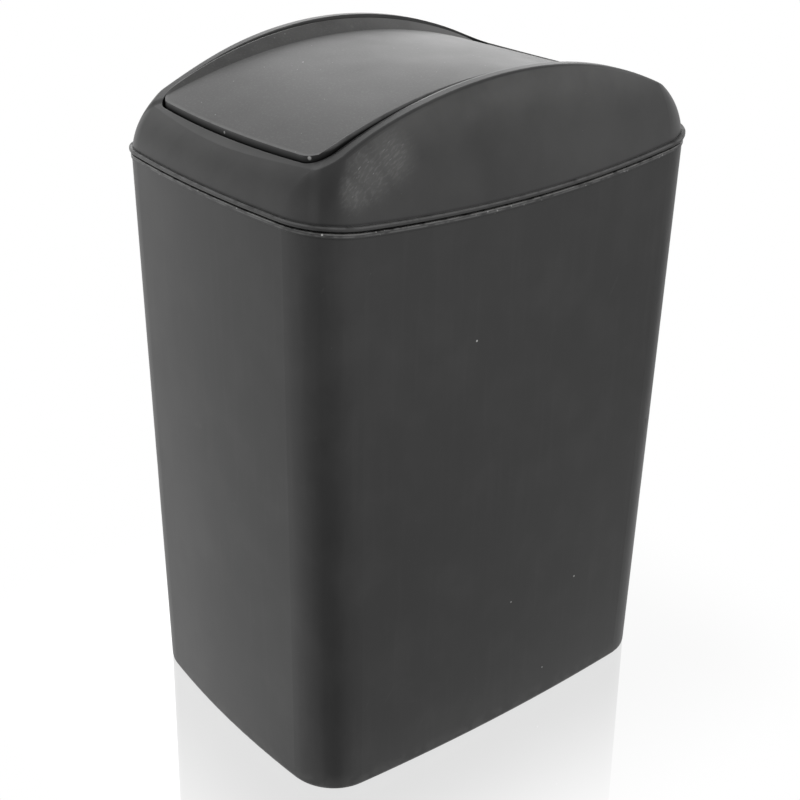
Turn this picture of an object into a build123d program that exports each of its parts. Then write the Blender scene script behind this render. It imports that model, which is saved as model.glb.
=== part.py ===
from build123d import *
import os
from collections import namedtuple
from math import hypot, sqrt

os.makedirs("parts", exist_ok=True)

# Swing-top kitchen bin: a tapered tub, a domed hood that lifts off, and a flap that swings in the hood
# Millimetres, +Z up, origin at the centre of the base, front towards -Y, swing axis along X

# Plan outline: half sizes at mid wall, how far each wall bows out, corner radius
Outline = namedtuple("Outline", "width depth end_bow side_bow radius")

# Mouth of the tub, and the outlines that lie inside it
rim_outline = Outline(width=118.9, depth=163.6, end_bow=8.9, side_bow=7.4, radius=37.0)
rim_level = 400.0


def inside_rim(side, end, end_bow, side_bow, radius):
    """An outline that lies inside the rim, by side at its long walls and by end at its short ones"""
    return Outline(rim_outline.width - side, rim_outline.depth - end, end_bow, side_bow, radius)


# Tub
base_outline = inside_rim(side=5.1, end=4.5, end_bow=7.9, side_bow=6.3, radius=35.9)
tub_wall = 2.0
floor_thickness = 2.2
base_edge_radius = 4.0
base_recess = 1.6
foot_width = 13.0

# Parting line between tub and hood: an arc that dips at the middle of the long sides
parting_dip = 2.8
parting_low = rim_level - parting_dip
parting_arc = 1490.0
seat_gap = 0.3
seam_height = 1.3
rim_band_height = 3.2
rim_band_reach = 0.6
rim_band_edge_radius = 0.4

# Hood, its sections measured up from the rim
hood_wall = 2.0
hood_foot = rim_level - 13.0
neck_outline = inside_rim(side=0.9, end=0.2, end_bow=8.6, side_bow=7.5, radius=36.0)
neck_rise = 5.0
waist_outline = inside_rim(side=4.3, end=2.9, end_bow=7.2, side_bow=8.0, radius=31.0)
waist_rise = 16.5
shoulder_outline = inside_rim(side=8.0, end=11.6, end_bow=4.2, side_bow=9.0, radius=22.0)
shoulder_rise = 28.0
top_outline = inside_rim(side=20.5, end=50.6, end_bow=2.0, side_bow=12.0, radius=17.0)
top_level = rim_level + 75.0
crown_height = rim_level + 71.0
crest_radius = 296.0
crest_edge_radius = 3.0
bead_height = 2.8
bead_reach = 1.5
bead_edge_radius = 0.9
skirt_depth = 8.0
skirt_wall = 1.6
skirt_gap = 0.4

# Opening in the crown, with a down-turned lip
opening = inside_rim(side=26.2, end=21.3, end_bow=4.0, side_bow=4.8, radius=15.0)
lip_depth = 6.0
lip_wall = 1.8

# Swing axis, under the crown
pivot_height = crown_height - 9.5
pin_radius = 2.6
pin_clearance = 0.08
pin_engagement = 5.0
boss_radius = 6.0
boss_width = 5.8
boss_root = 1.2

# Flap
flap_gap = 1.5
flap_corner_radius = 16.0
flap_wall = 2.0
flap_edge_top = crown_height - 1.5
flap_edge_arc = 316.0
flap_skirt = 6.5
flap_edge_radius = 1.6
flap_edge_land = 2.0
dish_drop = 6.8
dish_run = 11.5
dish_arc = 387.0
dish_depth = 20.0
flap_ear_wall = 2.6
flap_ear_rise = 4.5
flap_rest_tilt = 1.1

# Half length of the helper blocks that trim the pieces, and how far rings start beyond the parting line
reach = 260.0
ring_margin = 30.0
parting_rise = rim_outline.depth ** 2 / (2 * parting_arc)


def grown(outline, amount):
    """The same outline moved outwards by amount, or inwards where it is negative"""
    return outline._replace(
        width=outline.width + amount,
        depth=outline.depth + amount,
        radius=outline.radius + amount,
    )


def blended(first, second, share):
    """An outline between two others, or past them where share is outside 0 to 1"""
    return Outline(*(a + (b - a) * share for a, b in zip(first, second)))


def tub_outline(level):
    """Outer outline of the tub at a level above the base"""
    return blended(base_outline, rim_outline, level / rim_level)


def plan(outline):
    """Face of a plan outline"""
    corner_x = outline.width - outline.side_bow
    corner_y = outline.depth - outline.end_bow
    with BuildSketch() as face:
        with BuildLine():
            ThreePointArc((-corner_x, -corner_y), (0, -outline.depth), (corner_x, -corner_y))
            ThreePointArc((corner_x, -corner_y), (outline.width, 0), (corner_x, corner_y))
            ThreePointArc((corner_x, corner_y), (0, outline.depth), (-corner_x, corner_y))
            ThreePointArc((-corner_x, corner_y), (-outline.width, 0), (-corner_x, -corner_y))
        make_face()
        fillet(face.vertices(), outline.radius)
    return face.sketch


def above_parting(shift):
    """Side view of all that lies above the parting line, moved up by shift"""
    with BuildSketch() as face:
        with Locations((0, parting_low + shift + parting_arc)):
            Circle(parting_arc)
    return face.sketch


def below_arc(top, radius):
    """Side view of all that lies under an arc whose top is above the swing axis"""
    with BuildSketch() as face:
        with Locations((0, top - radius)):
            Circle(radius)
            Rectangle(2 * radius, radius, align=(Align.CENTER, Align.MAX), mode=Mode.SUBTRACT)
    return face.sketch


def parting_ring(outer, inner, low, high):
    """Ring between two outlines that follows the parting line, from low to high above it"""
    with BuildPart() as ring:
        with BuildSketch(Plane.XY.offset(parting_low - ring_margin)):
            add(plan(outer))
            add(plan(inner), mode=Mode.SUBTRACT)
        extrude(amount=parting_rise + 2 * ring_margin)
        with BuildSketch(Plane.YZ):
            add(above_parting(low))
        extrude(amount=reach, both=True, mode=Mode.INTERSECT)
        with BuildSketch(Plane.YZ):
            add(above_parting(high))
        extrude(amount=reach, both=True, mode=Mode.SUBTRACT)
    return ring.part


def hood_sections(inset):
    """Levels and outlines of the hood from below the parting line to above the crown"""
    return (
        (hood_foot, grown(rim_outline, -inset)),
        (rim_level + neck_rise, grown(neck_outline, -inset)),
        (rim_level + waist_rise, grown(waist_outline, -inset)),
        (rim_level + shoulder_rise, grown(shoulder_outline, -inset)),
        (top_level, grown(top_outline, -inset)),
    )


def outer_edges(ring):
    """Outer edges of the upper and lower faces of a ring"""
    upper_and_lower = ring.faces().sort_by(SortBy.AREA)[-2:]
    return [edge for face in upper_and_lower for edge in face.outer_wire().edges()]


# Rim band round the mouth of the tub, its two outer edges rounded
with BuildPart() as rim_band:
    add(parting_ring(
        grown(rim_outline, rim_band_reach), grown(rim_outline, -tub_wall / 2), -rim_band_height, 0,
    ))
    fillet(outer_edges(rim_band), rim_band_edge_radius)

# Tub
tub_top = parting_low + parting_rise + rim_band_height
cavity_floor = base_recess + floor_thickness
with BuildPart() as tub:
    for level in (0, tub_top):
        with BuildSketch(Plane.XY.offset(level)):
            add(plan(tub_outline(level)))
    loft(ruled=True)
    fillet(tub.edges().group_by(Axis.Z)[0], base_edge_radius)
    with BuildSketch(Plane.YZ):
        add(above_parting(0))
    extrude(amount=reach, both=True, mode=Mode.SUBTRACT)
    add(rim_band.part)
    for level in (cavity_floor, tub_top):
        with BuildSketch(Plane.XY.offset(level)):
            add(plan(grown(tub_outline(level), -tub_wall)))
    loft(ruled=True, mode=Mode.SUBTRACT)
    with BuildSketch():
        add(plan(grown(base_outline, -foot_width)))
    extrude(amount=base_recess, mode=Mode.SUBTRACT)
tub.part.label = "tub"
export_step(tub.part, "parts/tub.step")

# Hollow under the dome
with BuildPart() as dome_core:
    for level, outline in hood_sections(hood_wall):
        with BuildSketch(Plane.XY.offset(level)):
            add(plan(outline))
    loft()
    with BuildSketch(Plane.YZ):
        add(below_arc(crown_height - hood_wall, crest_radius - hood_wall))
    extrude(amount=reach, both=True, mode=Mode.INTERSECT)

# Bead round the lower edge of the hood, above a shadow line, its two outer edges rounded
with BuildPart() as bead:
    add(parting_ring(
        grown(rim_outline, bead_reach), grown(rim_outline, -hood_wall / 2),
        seam_height, seam_height + bead_height,
    ))
    fillet(outer_edges(bead), bead_edge_radius)

# Skirt that drops inside the mouth of the tub, and the ledge that carries it
skirt_outer = grown(rim_outline, -tub_wall - skirt_gap)
skirt_inner = grown(skirt_outer, -skirt_wall)
with BuildPart() as skirt:
    add(parting_ring(skirt_outer, skirt_inner, -skirt_depth, seat_gap + hood_wall))
    add(parting_ring(grown(rim_outline, -hood_wall / 2), skirt_inner, seat_gap, seat_gap + hood_wall))

# Lip that turns down round the opening
with BuildPart() as opening_lip:
    with BuildSketch(Plane.XY.offset(rim_level)):
        add(plan(grown(opening, lip_wall)))
        add(plan(opening), mode=Mode.SUBTRACT)
    extrude(amount=crown_height - rim_level)
    with BuildSketch(Plane.YZ):
        add(below_arc(crown_height - hood_wall / 2, crest_radius - hood_wall / 2))
    extrude(amount=reach, both=True, mode=Mode.INTERSECT)
    with BuildSketch(Plane.YZ):
        add(below_arc(crown_height - lip_depth, crest_radius - lip_depth))
    extrude(amount=reach, both=True, mode=Mode.SUBTRACT)

# Hood
with BuildPart() as hood:
    for level, outline in hood_sections(0):
        with BuildSketch(Plane.XY.offset(level)):
            add(plan(outline))
    loft()
    with BuildSketch(Plane.YZ):
        add(below_arc(crown_height, crest_radius))
    extrude(amount=reach, both=True, mode=Mode.INTERSECT)
    fillet(hood.faces().sort_by(Axis.Z)[-1].edges(), crest_edge_radius)
    with BuildSketch(Plane.YZ):
        add(above_parting(seam_height))
    extrude(amount=reach, both=True, mode=Mode.INTERSECT)
    add(bead.part)
    add(dome_core.part, mode=Mode.SUBTRACT)
    add(skirt.part)
    with BuildSketch(Plane.XY.offset(rim_level)):
        add(plan(opening))
    extrude(amount=top_level - rim_level, mode=Mode.SUBTRACT)
    add(opening_lip.part)
    for side in (-1, 1):
        boss_plane = Plane.YZ.offset(side * opening.width)
        with BuildSketch(boss_plane):
            with Locations((0, pivot_height)):
                Circle(boss_radius)
                Rectangle(2 * boss_radius, crown_height - boss_root - pivot_height,
                          align=(Align.CENTER, Align.MIN))
        extrude(amount=side * boss_width)
        with BuildSketch(boss_plane):
            with Locations((0, pivot_height)):
                Circle(pin_radius + pin_clearance)
        extrude(amount=side * boss_width, mode=Mode.SUBTRACT)
hood.part.label = "hood"
export_step(hood.part, "parts/hood.step")

# Dish of the flap: a hollow with sloping sides that follow the bowed long edges
flap_plan = grown(opening, -flap_gap)._replace(radius=flap_corner_radius)


def dish(offset):
    """Space above the dished face of the flap, or with an offset above the same face lying deeper"""
    slope = dish_run / dish_drop
    above = flap_wall + flap_edge_land
    end = flap_plan.depth + flap_wall
    with BuildPart() as space:
        for y in (-end, -end / 2, 0, end / 2, end):
            bow = flap_plan.side_bow * (y / (flap_plan.depth - flap_plan.end_bow)) ** 2
            half = flap_plan.width - bow - flap_edge_land + offset * hypot(1, slope)
            edge = flap_edge_top - flap_edge_arc + sqrt(flap_edge_arc ** 2 - y ** 2)
            with BuildSketch(Plane.XZ.offset(-y)):
                with BuildLine():
                    Polyline(
                        (half + above * slope, edge + above),
                        (-half - above * slope, edge + above),
                        (-half + dish_depth * slope, edge - dish_depth),
                        (half - dish_depth * slope, edge - dish_depth),
                        close=True,
                    )
                make_face()
        loft()
        with BuildSketch(Plane.YZ):
            add(below_arc(flap_edge_top - dish_drop - offset, dish_arc - offset))
        extrude(amount=reach, both=True, mode=Mode.SUBTRACT)
    return space.part


upper_dish = dish(0)
lower_dish = dish(flap_wall)

# Hollow under the flap
with BuildPart() as flap_core:
    with BuildSketch(Plane.XY.offset(rim_level)):
        add(plan(grown(flap_plan, -flap_wall)))
    extrude(amount=top_level - rim_level)
    with BuildSketch(Plane.YZ):
        add(below_arc(flap_edge_top - flap_wall, flap_edge_arc - flap_wall))
    extrude(amount=reach, both=True, mode=Mode.INTERSECT)
    add(lower_dish, mode=Mode.SUBTRACT)

# Space under the skirt of the flap
with BuildPart() as skirt_trim:
    with BuildSketch(Plane.XY.offset(rim_level)):
        add(plan(grown(flap_plan, flap_wall)))
        add(plan(grown(flap_plan, -flap_wall)), mode=Mode.SUBTRACT)
    extrude(amount=top_level - rim_level)
    with BuildSketch(Plane.YZ):
        add(below_arc(flap_edge_top - flap_skirt, flap_edge_arc - flap_skirt))
    extrude(amount=reach, both=True, mode=Mode.INTERSECT)

# Level panel of the flap
with BuildPart() as panel:
    with BuildSketch(Plane.XY.offset(rim_level)):
        add(plan(flap_plan))
    extrude(amount=top_level - rim_level)
    with BuildSketch(Plane.YZ):
        add(below_arc(flap_edge_top, flap_edge_arc))
    extrude(amount=reach, both=True, mode=Mode.INTERSECT)
    fillet(panel.faces().sort_by(Axis.Z)[-1].edges(), flap_edge_radius)
    add(upper_dish, mode=Mode.SUBTRACT)
    add(flap_core.part, mode=Mode.SUBTRACT)
    add(skirt_trim.part, mode=Mode.SUBTRACT)
balance = panel.part.center(CenterOf.MASS)
resting_panel = panel.part.rotate(Axis(balance, (1, 0, 0)), -flap_rest_tilt)

# Flap, resting a little nose up, with an ear and a pin on each side
with BuildPart() as flap:
    add(resting_panel)
    for side in (-1, 1):
        with BuildSketch(Plane.YZ.offset(side * flap_plan.width)):
            with Locations((0, pivot_height)):
                Circle(boss_radius)
                Rectangle(2 * boss_radius, flap_ear_rise, align=(Align.CENTER, Align.MIN))
        extrude(amount=-side * flap_ear_wall)
        with BuildSketch(Plane.YZ.offset(side * (flap_plan.width - flap_ear_wall))):
            with Locations((0, pivot_height)):
                Circle(pin_radius)
        extrude(amount=side * (flap_ear_wall + flap_gap + pin_engagement))
flap.part.label = "flap"
export_step(flap.part, "parts/flap.step")
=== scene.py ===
import math

import bpy
from mathutils import Matrix, Vector


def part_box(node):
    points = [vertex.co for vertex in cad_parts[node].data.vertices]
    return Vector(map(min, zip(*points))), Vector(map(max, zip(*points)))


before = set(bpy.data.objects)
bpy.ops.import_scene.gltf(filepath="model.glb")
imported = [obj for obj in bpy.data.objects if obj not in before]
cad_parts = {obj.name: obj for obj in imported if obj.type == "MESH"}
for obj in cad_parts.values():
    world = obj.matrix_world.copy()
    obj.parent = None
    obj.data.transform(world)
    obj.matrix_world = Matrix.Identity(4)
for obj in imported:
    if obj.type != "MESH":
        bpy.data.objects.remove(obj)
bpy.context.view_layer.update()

# Camera, as solved on the bin's own edges: where it stands and looks, in metres and degrees
camera_azimuth = 56.42
camera_elevation = 25.74
camera_roll = -1.74
camera_distance = 1.02372
camera_target = Vector((-0.06940, -0.07614, 0.23253))

# The photograph's frame: its side, its focal length and the point its optical axis meets, in pixels
frame_side = 800
focal_length = 1416.09
axis_pixel = (259.65, 370.74)
sensor_width = 36

# Studio: how far the white floor runs, where the lamps point, and how strongly, how far and how brightly
# the floor mirrors the foot of the bin
floor_reach = 6.0
lamp_target = Vector((0, 0, 0.25))
mirror_strength = 0.27
mirror_fade = 0.14
mirror_gain = 1.3

# Light of the room: its level at the horizon and overhead, and the Z of a direction between which it falls
horizon_level = 1.0
overhead_level = 0.55
room_fall = (0.10, 0.75)

# Light off the floor: its level on the bright side, beside the bin, far beyond it and behind it,
# and the stretches along X or Y, in metres, over which one becomes the next
lit_floor = 1.0
side_floor = 0.55
far_floor = 0.98
rear_floor = 0.76
side_stretch = (0.0, 0.2)
far_stretch = (0.35, 0.9)
rear_stretch = (0.3, 0.8)

# Dim sector before the near corner: the direction of its middle on the floor and in the room, the cosines
# between which it grows full, the floor's level in it, how much the room loses, where it starts as a share
# of the way to the tub's corner, and the Z of a direction between which it ends
dim_way = (0.76, -0.65)
dim_room_way = (0.82, -0.57)
dim_spread = (0.80, 1.00)
dim_floor = 0.24
dim_room = 0.55
dim_corner = 0.8
dim_room_top = (0.35, 0.75)

# Parting line between tub and hood, in metres: an arc that dips at the middle of the long sides
parting_low = 0.3972
parting_arc = 1.490

# Bands along the parting line, in metres above it: where each starts, is full, begins to fade and ends. The
# rim groove, the seam and the bead groove carry painted shade; the rim line carries a painted highlight, and
# the bead crown wear and a painted highlight.
# The worn edge of the rim, which also carries a painted highlight, and the grit of the rim run on to its top.
rim_groove = (-0.0040, -0.0033, -0.0031, -0.0024)
rim_line = (-0.0024, -0.0019, -0.0014, -0.0010)
seam_band = (-0.0020, -0.0005, 0.0011, 0.0020)
bead_crown = (0.0027, 0.0035, 0.0039, 0.0044)
bead_groove = (0.0039, 0.0044, 0.0046, 0.0057)
rim_edge = (-0.0012, -0.0004)
rim_grit = (-0.0040, -0.0010)

# Opening of the hood, in metres: half sizes at mid wall, and how much each falls off for a metre squared
# along it
opening_width = 0.0927
opening_depth = 0.1423
side_fall = 0.0048 / 0.1383 ** 2
end_fall = 0.0040 / 0.0879 ** 2
opening_corner = 0.015
edge_rounding = 0.0015
edge_slope = 0.7
flap_gap = 0.0015

# Stretches, in metres, over which a look grows full or fades. Outwards from the opening: its edge, worn and
# with a painted highlight, and the wall of its lip, and how much nearer its long side is than its end
worn_and_highlit_edge = (0.0003, 0.0010)
lip_wall = (0.0001, 0.0004)
long_side = (-0.005, 0.005)

# Along Y and up: the painted light on the lip wall of the gap behind the flap. Up: the scuffed foot and the
# paler upper flanks
gap_rear = (0.128, 0.132)
gap_height = (0.430, 0.432)
foot_height = (0.002, 0.016)
flank_height = (0.430, 0.464)

# Top edge of the flap, in metres: its crown, the arc that it follows, and how far the flap leans at rest
flap_crown = 0.4695
flap_arc = 0.316
flap_lean = math.tan(math.radians(1.1))

# Stretches on the flap, in metres: outwards from its edge, its wall and its ridge, along X, the slope at its
# far side, and downwards, the painted shade of its wall
flap_wall = (-0.0018, -0.0010)
flap_ridge = (-0.0026, -0.0008)
far_slope = (-0.084, -0.066)
wall_depth = (0.001, 0.006)

# Marks of use, in metres: places with their size, of the rubbed patch on the hood, which was rubbed one way,
# of the chips on the tub and of the nicks in the flap
rubbed_spots = (
    ((0.1070, -0.1265, 0.4250), 0.020),
    ((0.1045, -0.1140, 0.4320), 0.026),
    ((0.1035, -0.0980, 0.4385), 0.026),
)
rub_turn = math.radians(-33)
tub_chips = (
    ((0.1173, -0.0399, 0.3136), 0.0009),
    ((0.1137, 0.0678, 0.0965), 0.0008),
    ((0.1150, 0.0049, 0.1010), 0.0007),
    ((0.1136, 0.0419, 0.0275), 0.0007),
    ((0.1048, -0.1477, 0.4037), 0.0008),
)
flap_nicks = (
    ((0.0786, -0.1367, 0.4392), 0.0015),
    ((-0.0020, -0.1412, 0.4368), 0.0011),
    ((0.0660, -0.1370, 0.4410), 0.0007),
    ((-0.0374, -0.0567, 0.4598), 0.0008),
)

# Relief of the plastic, in metres: its grain, its waviness, and what stands on it or is cut into it
grain = 0.000005
waviness = 0.000004
flake = 0.00003
scratch = -0.00001
nick = -0.00010

# Plastic, what lies on it and painted light: shades of grey, and how much the bare shade wanders
bare_shade = 0.026
mottling = 0.12
dust_colour = (0.164, 0.163, 0.160, 1)
# Dark specks of grime, and also painted shade in the grooves, the seam and on the flap's walls
dirt_and_shade_colour = (0.006, 0.006, 0.006, 1)
# Wear, and also painted highlights on the opening's edge, the bead crown and the flap's ridge
wear_and_highlight_colour = (0.150, 0.150, 0.150, 1)
# Pale chips and grit, and also painted highlights on the rim and painted light in the gap behind the flap
chip_and_painted_light_colour = (0.62, 0.62, 0.61, 1)


class Wire:
    """An output of a node. Arithmetic on it adds the Math nodes that do the same."""

    def __init__(self, tree, socket):
        self.tree = tree
        self.socket = socket

    def out(self, name):
        """Another output of the same node"""
        return Wire(self.tree, self.socket.node.outputs[name])

    def math(self, operation, *others):
        """A Math node that starts with this wire"""
        values = dict(enumerate((self, *others)))
        return self.tree.add("ShaderNodeMath", {"operation": operation}, values)

    def __add__(self, other):
        return self.math("ADD", other)

    def __sub__(self, other):
        return self.math("SUBTRACT", other)

    def __mul__(self, other):
        return self.math("MULTIPLY", other)

    def __truediv__(self, other):
        return self.math("DIVIDE", other)

    def __pow__(self, other):
        return self.math("POWER", other)

    def __rsub__(self, other):
        return self.tree.add("ShaderNodeMath", {"operation": "SUBTRACT"}, {0: other, 1: self})

    __radd__ = __add__
    __rmul__ = __mul__

    def ramp(self, low, high):
        """0 where the wire is at low, 1 where it is at high, and a smooth step between"""
        return self.tree.add(
            "ShaderNodeMapRange",
            {"interpolation_type": "SMOOTHSTEP"},
            {"Value": self, "From Min": low, "From Max": high},
        )

    def band(self, start, full, fade, end):
        """1 from full to fade, and 0 before the start and past the end"""
        return self.ramp(start, full) * (1 - self.ramp(fade, end))


class Tree:
    """A node tree that is built by adding one node after another"""

    def __init__(self, tree):
        self.tree = tree

    def add(self, kind, settings=None, inputs=None, output=0):
        """Adds a node: its settings first, then values or wires for its sockets, by name or number"""
        node = self.tree.nodes.new(kind)
        for name, value in (settings or {}).items():
            setattr(node, name, value)
        for name, value in (inputs or {}).items():
            if isinstance(value, Wire):
                self.tree.links.new(value.socket, node.inputs[name])
            else:
                node.inputs[name].default_value = value
        return Wire(self, node.outputs[output]) if node.outputs else node


def new_material(name):
    """An empty material and its tree"""
    material = bpy.data.materials.new(name)
    material.use_nodes = True
    material.node_tree.nodes.clear()
    return material, Tree(material.node_tree)


def grey(shade):
    """A neutral colour"""
    return shade, shade, shade, 1


class Moulding:
    """Charcoal polypropylene whose look is built up in layers: colour, roughness and relief in metres"""

    def __init__(self, name, roughness):
        self.material, self.tree = new_material(name)
        self.place = self.tree.add("ShaderNodeTexCoord", output="Object")
        axes = self.tree.add("ShaderNodeSeparateXYZ", {}, {0: self.place})
        self.x, self.y, self.z = axes, axes.out("Y"), axes.out("Z")
        normal = self.tree.add("ShaderNodeSeparateXYZ", {}, {0: self.place.out("Normal")})
        self.upward = normal.out("Z").ramp(0.10, 0.85)
        self.sideways = normal.ramp(0.82, 0.93)
        self.above_parting = self.z - parting_low - self.y * self.y / (2 * parting_arc)
        cloud = self.noise(14, detail=4) - 0.5
        flow = self.noise(60, detail=3, stretch=(1, 1, 0.35)) - 0.5
        dark, light = grey(bare_shade * (1 - mottling)), grey(bare_shade * (1 + mottling))
        self.colour = self.mix(cloud * 1.4 + flow + 0.5, dark, light)
        self.roughness = roughness + cloud * 0.10 + flow * 0.06
        self.relief = self.noise(1500) * grain + self.noise(420, detail=1) * waviness
        # Share of a matte black sheet of painted shade, none unless a piece sets it
        self.painted_shade_share = 0.0

    def noise(self, scale, detail=2, stretch=(1, 1, 1), turn=0.0):
        """Noise about 0.5, turned about X and then drawn out along the axes whose stretch is low"""
        turned = self.tree.add(
            "ShaderNodeVectorRotate", {"rotation_type": "X_AXIS"}, {0: self.place, "Angle": turn}
        )
        drawn = self.tree.add("ShaderNodeVectorMath", {"operation": "MULTIPLY"}, {0: turned, 1: stretch})
        return self.tree.add("ShaderNodeTexNoise", {}, {"Vector": drawn, "Scale": scale, "Detail": detail})

    def specks(self, scale, share, size):
        """Small specks, in a share of the cells of a grid, their size a share of the cell"""
        cell = self.tree.add("ShaderNodeTexVoronoi", {}, {"Vector": self.place, "Scale": scale})
        pick = self.tree.add("ShaderNodeSeparateColor", {}, {0: cell.out("Color")})
        return (1 - cell.ramp(size * 0.5, size)) * pick.ramp(1 - share, 1.02 - share)

    def scratches(self, scale, stretch, turn=0.0):
        """Short thin lines, where a noise drawn out one way is at its highest"""
        return self.noise(scale, detail=1, stretch=stretch, turn=turn).ramp(0.70, 0.78)

    def near(self, point, inner, outer):
        """1 within the inner distance of a point, 0 beyond the outer one"""
        away = self.tree.add(
            "ShaderNodeVectorMath", {"operation": "DISTANCE"}, {0: self.place, 1: point}, "Value"
        )
        return 1 - away.ramp(inner, outer)

    def past_sides(self):
        """How far a place lies outside the long sides of the opening and outside its ends, from above"""
        side = self.x.math("ABSOLUTE") + self.y * self.y * side_fall - opening_width
        end = self.y.math("ABSOLUTE") + self.x * self.x * end_fall - opening_depth
        return side, end

    def past_opening(self):
        """How far a place lies outside the rounded outline of the opening, from above"""
        side, end = (past + opening_corner for past in self.past_sides())
        round_side, round_end = side.math("MAXIMUM", 0.0), end.math("MAXIMUM", 0.0)
        within = side.math("MAXIMUM", end).math("MINIMUM", 0.0)
        return (round_side * round_side + round_end * round_end) ** 0.5 + within - opening_corner

    def mix(self, share, first, second):
        """A colour between two others"""
        return self.tree.add("ShaderNodeMix", {"data_type": "RGBA"}, {0: share, 6: first, 7: second}, 2)

    def layer(self, mask, colour, strength=1.0, rougher=0.0, height=0.0):
        """Lays a colour where the mask is, at a strength, and may make it rougher, raised or sunk there"""
        laid = mask * strength
        self.colour = self.mix(laid, self.colour, colour)
        self.roughness = self.roughness + laid * rougher
        if height:
            self.relief = self.relief + laid * height

    def mark(self, spots):
        """Lays a small pale nick at each of the spots"""
        for place, size in spots:
            self.layer(self.near(place, size * 0.5, size), chip_and_painted_light_colour, rougher=0.1, height=nick)

    def finish(self):
        """The finished material, with a matte black sheet of painted shade mixed in by its painted shade
        share
        """
        bump = self.tree.add("ShaderNodeBump", {}, {"Strength": 1.0, "Distance": 1.0, "Height": self.relief})
        surface = self.tree.add("ShaderNodeBsdfPrincipled", {}, {
            "Base Color": self.colour,
            "Roughness": self.roughness.math("MAXIMUM", 0.15),
            "IOR": 1.5,
            "Normal": bump,
        })
        # Painted shade: a matte black diffuse sheet that stands in place of the plastic
        painted_shade_sheet = self.tree.add("ShaderNodeBsdfDiffuse", {}, {"Color": dirt_and_shade_colour})
        surface = self.tree.add("ShaderNodeMixShader", {}, {0: self.painted_shade_share, 1: surface, 2: painted_shade_sheet})
        self.tree.add("ShaderNodeOutputMaterial", {}, {"Surface": surface})
        return self.material


def tub_plastic():
    """Tub: faint upright streaks and specks of dust, a worn rim with painted highlights, a scuffed foot and
    painted shade below the rim band
    """
    tub = Moulding("tub_plastic", roughness=0.42)

    # A thin film of dust, in clouds and in streaks down the walls, with specks and slanting scratches
    streaks = tub.noise(200, stretch=(1, 1, 0.07))
    scratches = tub.scratches(260, stretch=(1, 1, 0.10), turn=0.5) * tub.noise(9).ramp(0.5, 0.7)
    tub.layer(tub.noise(26, detail=5).ramp(0.40, 0.75), dust_colour, 0.06, rougher=0.04)
    tub.layer(streaks.ramp(0.50, 0.75), dust_colour, 0.025, rougher=0.01)
    tub.layer(tub.specks(140, share=0.10, size=0.070), dust_colour, 0.25, rougher=0.10, height=flake)
    tub.layer(scratches, wear_and_highlight_colour, 0.10)

    # The foot, scuffed in patches
    foot = (1 - tub.z.ramp(*foot_height)) * tub.noise(90, detail=4).ramp(0.40, 0.62)
    tub.layer(foot, dust_colour, 0.25, rougher=0.12)

    # The rim: a pale edge, worn and with a painted highlight, a painted highlight line under it, painted
    # shade below the band, and grit all along
    edge = tub.above_parting.ramp(*rim_edge) * tub.noise(120, detail=3).ramp(0.30, 0.60)
    line = tub.above_parting.band(*rim_line) * tub.noise(150, detail=3).ramp(0.30, 0.60)
    grit = tub.specks(520, share=0.10, size=0.30) * tub.above_parting.ramp(*rim_grit)
    tub.layer(edge, chip_and_painted_light_colour, 0.32, rougher=0.05)
    tub.layer(line, chip_and_painted_light_colour, 0.16)
    tub.layer(tub.above_parting.band(*rim_groove), dirt_and_shade_colour, 0.45)
    tub.layer(grit, chip_and_painted_light_colour, 0.75, rougher=0.15, height=2.7 * flake)

    tub.mark(tub_chips)
    return tub.finish()


def hood_plastic():
    """Hood: a rubbed patch over the near front corner, worn edges with painted highlights, painted light in
    the gap behind the flap, and painted shade along the bead and in the seam
    """
    hood = Moulding("hood_plastic", roughness=0.40)
    hood.layer(hood.noise(20, detail=5).ramp(0.30, 0.75), dust_colour, 0.15, rougher=0.06)
    hood.layer(hood.specks(190, share=0.12, size=0.080), dust_colour, 0.45, rougher=0.10, height=flake)

    # The patch that is rubbed, all one way, where the side faces out
    rubbed = 0.0
    for place, size in rubbed_spots:
        rubbed = hood.near(place, 0.0, size).math("MAXIMUM", rubbed)
    rubbed = rubbed.ramp(0.0, 1.1) * hood.sideways
    crinkle = hood.noise(800, detail=4, stretch=(1, 0.30, 1), turn=rub_turn)
    scratches = hood.scratches(1100, stretch=(1, 0.15, 1), turn=rub_turn)
    hood.layer(rubbed * (crinkle.ramp(0.45, 0.70) * 0.45 + 0.50), dust_colour, rougher=0.05)
    hood.layer(rubbed * scratches, chip_and_painted_light_colour, 0.35, height=scratch)

    # Paler high on the flanks, below the crests, in clouds
    flank = hood.z.ramp(*flank_height) * (1 - hood.upward.ramp(0.7, 1.0))
    hood.layer(flank * hood.noise(34, detail=4).ramp(-0.20, 0.90), dust_colour, 0.48, rougher=0.04)

    # The edge of the opening: worn and with a painted highlight all round, rounded along the sides, and
    # painted light on the lip wall of the gap behind the flap
    past = hood.past_opening()
    side, end = hood.past_sides()
    edge = (1 - past.ramp(*worn_and_highlit_edge)) * hood.upward
    wall = (1 - past.ramp(*lip_wall)) * (1 - hood.upward)
    rear_gap = wall * hood.y.ramp(*gap_rear) * hood.z.ramp(*gap_height)
    rounding = past.ramp(0.0, edge_rounding) * (side - end).ramp(*long_side)
    hood.layer(edge * hood.noise(110, detail=3).ramp(0.20, 0.60), wear_and_highlight_colour, 0.25)
    hood.relief = hood.relief + rounding * (edge_slope * edge_rounding)
    hood.layer(rear_gap, chip_and_painted_light_colour, 0.55, rougher=0.3)

    # The bead: painted shade in the groove above it, its crown worn and with a painted highlight, and painted
    # shade in the seam below, as a matte black sheet
    bead = hood.above_parting.band(*bead_crown) * hood.noise(130, detail=3).ramp(0.25, 0.60)
    hood.layer(hood.above_parting.band(*bead_groove), dirt_and_shade_colour, 0.75)
    hood.layer(bead, wear_and_highlight_colour, 0.70)
    hood.painted_shade_share = hood.above_parting.band(*seam_band) * 0.85
    return hood.finish()


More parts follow.
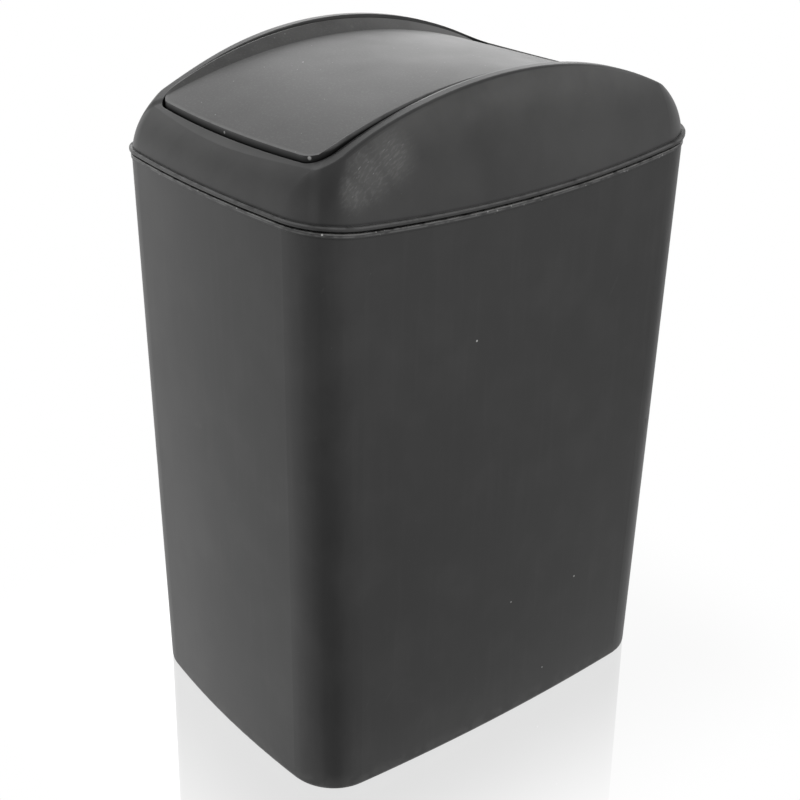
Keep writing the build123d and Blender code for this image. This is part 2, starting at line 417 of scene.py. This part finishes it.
def flap_plastic():
    """Flap: a film of fine dust on the dished face, specks and fine scratches, painted shade on the walls and
    a few nicks
    """
    flap = Moulding("flap_plastic", roughness=0.40)
    past = flap.past_opening() + flap_gap

    # A film of dust in clouds, which lies thickest on the slope at the far side
    cloud = flap.noise(19, detail=5, stretch=(1, 0.6, 1)).ramp(0.30, 0.72)
    slope = (1 - flap.x.ramp(*far_slope)) * flap.noise(40, detail=4).ramp(0.0, 0.60)
    flap.layer(flap.upward * (0.35 + cloud * 0.80), dust_colour, 0.20, rougher=0.05)
    flap.layer(flap.upward * slope, dust_colour, 0.35, rougher=0.08)

    # Painted shade on the walls that face the gap, darker the deeper they go, partly as a matte black sheet
    wall = past.ramp(*flap_wall) * (1 - flap.upward)
    below_edge = flap_crown - flap.y * flap.y / (2 * flap_arc) - flap.y * flap_lean - flap.z
    flap.layer(wall, dirt_and_shade_colour, 0.60)
    flap.painted_shade_share = wall * below_edge.ramp(*wall_depth) * 0.75

    # Fine dust, pale and dark specks, and scratches across the face
    fine = flap.noise(700, detail=3).ramp(0.50, 0.72)
    pale, dark = flap.specks(210, share=0.16, size=0.085), flap.specks(120, share=0.14, size=0.060)
    scratches = flap.scratches(300, stretch=(0.12, 1, 1)) * flap.noise(21).ramp(0.5, 0.7)
    flap.layer(flap.upward * fine, dust_colour, 0.30, rougher=0.08, height=0.7 * flake)
    flap.layer(flap.upward * pale, chip_and_painted_light_colour, 0.75, rougher=0.10, height=1.7 * flake)
    flap.layer(flap.upward * dark, dirt_and_shade_colour, 0.60, height=-2 * flake)
    flap.layer(scratches, wear_and_highlight_colour, 0.40)

    # The ridge round the dish, worn pale and with a painted highlight
    ridge = past.ramp(*flap_ridge) * flap.upward
    flap.layer(ridge * flap.noise(90, detail=3).ramp(0.15, 0.55), wear_and_highlight_colour, 0.50)

    flap.mark(flap_nicks)
    return flap.finish()


def toward(x, y, way):
    """Cosine of the angle, seen from above, between a direction and a way of length 1"""
    return (x * way[0] + y * way[1]) / (x * x + y * y) ** 0.5


def mirror_share(x, y, high):
    """How strongly the floor mirrors at a place: most at the foot of the bin, and nothing away from it"""
    beyond_x = (x.math("ABSOLUTE") - high.x).math("MAXIMUM", 0.0)
    beyond_y = (y.math("ABSOLUTE") - high.y).math("MAXIMUM", 0.0)
    away = (beyond_x * beyond_x + beyond_y * beyond_y) ** 0.5
    return (1 - away.ramp(0.0, mirror_fade)) * mirror_strength


def floor_level(x, y, low, high):
    """Level of the floor, as the bin reflects it"""
    sector = toward(x - high.x * dim_corner, y - low.y * dim_corner, dim_way).ramp(*dim_spread)
    level = lit_floor - (lit_floor - side_floor) * x.ramp(*side_stretch)
    level = level + (far_floor - side_floor) * x.ramp(*far_stretch)
    level = level - (far_floor - rear_floor) * y.ramp(*rear_stretch)
    return level - (side_floor - dim_floor) * sector


def white_floor():
    """White sheet: pure white to the eye, with a fading mirror image of the bin, and clear from below"""
    material, tree = new_material("white_floor")
    low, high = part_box("tub")
    x = tree.add("ShaderNodeSeparateXYZ", {}, {0: tree.add("ShaderNodeTexCoord", output="Object")})
    y = x.out("Y")
    path = tree.add("ShaderNodeLightPath", output="Is Camera Ray")
    white = tree.add("ShaderNodeEmission", {}, {"Color": grey(1), "Strength": 1.0})
    lit = tree.add("ShaderNodeEmission", {}, {"Color": grey(1), "Strength": floor_level(x, y, low, high)})
    mirror = tree.add("ShaderNodeBsdfGlossy", {}, {"Color": grey(mirror_gain), "Roughness": 0.02})
    paper = tree.add("ShaderNodeBsdfDiffuse", {}, {"Color": grey(0.8)})
    shown = tree.add("ShaderNodeMixShader", {}, {0: mirror_share(x, y, high), 1: white, 2: mirror})
    gloss = tree.add("ShaderNodeMixShader", {}, {0: path.out("Is Glossy Ray"), 1: paper, 2: lit})
    sheet = tree.add("ShaderNodeMixShader", {}, {0: path, 1: gloss, 2: shown})
    below = tree.add("ShaderNodeNewGeometry", output="Backfacing")
    clear = tree.add("ShaderNodeBsdfTransparent")
    surface = tree.add("ShaderNodeMixShader", {}, {0: below, 1: sheet, 2: clear})
    tree.add("ShaderNodeOutputMaterial", {}, {"Surface": surface})
    return material


def studio_world():
    """White behind the bin, and light that is brightest at the horizon and weak in the dim sector"""
    world = bpy.data.worlds.new("studio")
    world.use_nodes = True
    world.node_tree.nodes.clear()
    tree = Tree(world.node_tree)
    way = tree.add("ShaderNodeTexCoord", output="Generated")
    x = tree.add("ShaderNodeSeparateXYZ", {}, {0: way})
    y, height = x.out("Y"), x.out("Z")
    sector = toward(x, y, dim_room_way).ramp(*dim_spread) * (1 - height.ramp(*dim_room_top))
    level = horizon_level - (horizon_level - overhead_level) * height.ramp(*room_fall) - dim_room * sector
    path = tree.add("ShaderNodeLightPath", output="Is Camera Ray")
    light = tree.add("ShaderNodeBackground", {}, {"Color": grey(1), "Strength": level})
    white = tree.add("ShaderNodeBackground", {}, {"Color": grey(1), "Strength": 1.0})
    surface = tree.add("ShaderNodeMixShader", {}, {0: path, 1: light, 2: white})
    tree.add("ShaderNodeOutputWorld", {}, {"Surface": surface})
    bpy.context.scene.world = world


def softbox(name, place, size, power):
    """A square area lamp that faces the middle of the bin"""
    data = bpy.data.lights.new(name, "AREA")
    data.shape = "SQUARE"
    data.size = size
    data.energy = power
    lamp = bpy.data.objects.new(name, data)
    bpy.context.scene.collection.objects.link(lamp)
    lamp.location = place
    lamp.rotation_mode = "QUATERNION"
    lamp.rotation_quaternion = (lamp_target - Vector(place)).to_track_quat("-Z", "Y")


def place_camera():
    """The camera that took the photograph, whose frame is a crop off its optical axis"""
    azimuth = math.radians(camera_azimuth)
    elevation = math.radians(camera_elevation)
    back = Vector((
        math.sin(azimuth) * math.cos(elevation),
        -math.cos(azimuth) * math.cos(elevation),
        math.sin(elevation),
    ))
    right = Vector((0, 0, 1)).cross(back).normalized()
    up = back.cross(right)
    level = Matrix((right, up, back)).transposed()
    data = bpy.data.cameras.new("camera")
    data.sensor_width = sensor_width
    data.lens = focal_length / frame_side * sensor_width
    data.shift_x = 0.5 - axis_pixel[0] / frame_side
    data.shift_y = axis_pixel[1] / frame_side - 0.5
    camera = bpy.data.objects.new("camera", data)
    bpy.context.scene.collection.objects.link(camera)
    turn = (level @ Matrix.Rotation(math.radians(camera_roll), 3, "Z")).to_4x4()
    camera.matrix_world = Matrix.Translation(camera_target + back * camera_distance) @ turn
    bpy.context.scene.camera = camera


place_camera()
bpy.context.scene.view_settings.view_transform = "Standard"
studio_world()
softbox("left_softbox", place=(-1.6, 0.35, 1.35), size=1.4, power=4.7)
softbox("rear_softbox", place=(-1.45, 1.2, 0.80), size=0.9, power=3.1)

bpy.ops.mesh.primitive_plane_add(size=2 * floor_reach)
floor = bpy.context.active_object
floor.name = "floor"
floor.data.materials.append(white_floor())

for node, finish in (("tub", tub_plastic()), ("hood", hood_plastic()), ("flap", flap_plastic())):
    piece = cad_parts[node]
    piece.data.materials.clear()
    piece.data.materials.append(finish)
